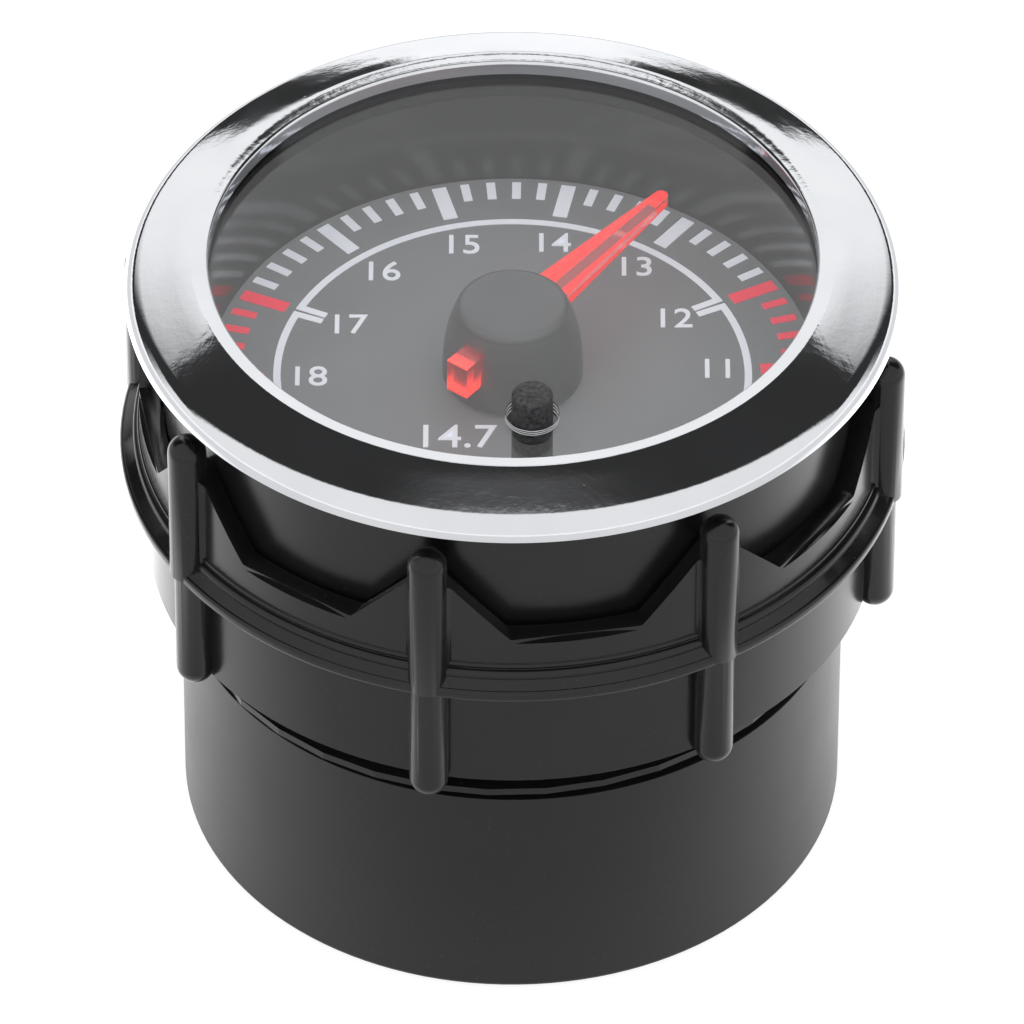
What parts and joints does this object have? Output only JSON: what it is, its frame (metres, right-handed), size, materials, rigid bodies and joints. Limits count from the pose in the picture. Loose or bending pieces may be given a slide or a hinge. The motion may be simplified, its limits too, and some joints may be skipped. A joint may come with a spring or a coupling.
{
  "type": "air fuel ratio gauge",
  "caption": "Round panel gauge with a chrome bezel, black dial and red pointer, a push button and a ribbed screw-on mounting ring.",
  "frame": {"origin": "centre of the rear face of the case", "axes": "+Z along the pointer's spindle, from the rear face to the dial; +Y to the top of the dial, +X to its right"},
  "size_m": [0.061, 0.061, 0.0539],
  "materials": {
    "black_case": "satin",
    "black_ring": "gloss",
    "chrome": "polished",
    "lens_acrylic": "clear",
    "black_rubber": "matte",
    "black_inside": "gloss",
    "dial_black": "matte",
    "white_ink": "matte",
    "red_ink": "matte",
    "pointer_red": "gloss",
    "pointer_foil": "satin",
    "black_hub": "satin",
    "black_button": "matte",
    "guide_white": "clear",
    "board_green": "satin",
    "part_black": "matte",
    "lamp_white": "matte",
    "screw_steel": "zinc plated",
    "steel": "drawn",
    "magnet": "sintered",
    "brass": "turned",
    "copper": "enamelled copper wire",
    "bobbin_cream": "satin",
    "contact_tin": "plated",
    "shell_cream": "satin",
    "sleeve_blue": "gloss"
  },
  "bodies": {
    "case": {"rear_cup": "black_case", "front_housing": "black_case", "bezel": "chrome", "lens": "lens_acrylic", "lens_gasket": "black_rubber", "inner_wall": "black_inside", "dial_face": "dial_black", "dial_white_print": "white_ink", "dial_red_print": "red_ink", "light_guide": "guide_white", "main_board": "board_green", "board_screws": "screw_steel", "dial_lamps": "lamp_white", "driver_chip": "part_black", "resistors": "part_black", "tact_switch": "part_black", "upper_bearing": "brass", "lower_bearing": "brass", "bobbin_upper": "bobbin_cream", "bobbin_lower": "bobbin_cream", "inner_coil": "copper", "outer_coil": "copper", "movement_shield": "steel", "movement_pins": "contact_tin", "rear_board": "board_green", "rear_board_screws": "screw_steel", "link_header": "part_black", "link_pins": "contact_tin", "connector_shell": "shell_cream", "connector_pins": "contact_tin", "capacitor": "sleeve_blue", "regulator": "part_black", "case_screws": "screw_steel"},
    "pointer": {"needle": "pointer_red", "needle_foil": "pointer_foil", "pointer_hub": "black_hub", "hub_cap": "black_hub", "spindle": "steel", "rotor_magnet": "magnet"},
    "button": {"button": "black_button", "switch_plunger": "part_black"},
    "ring": {"mounting_ring": "black_ring"}
  },
  "joints": [
    {"name": "pointer_turn", "type": "hinge", "parent": "case", "child": "pointer", "pos_m": [0, 0, 0.0471], "axis": [0, 0, 1], "range_deg": [-50.4, 129.6]},
    {"name": "button_press", "type": "slide", "parent": "case", "child": "button", "axis": [0, 0, -1], "range_m": [0, 0.0005], "stiffness_N_per_m": 2000, "springref_m": -0.0003},
    {"name": "ring_screw", "type": "slide", "parent": "case", "child": "ring", "axis": [0, 0, -1], "range_m": [-0.0016, 0.018]}
  ]
}
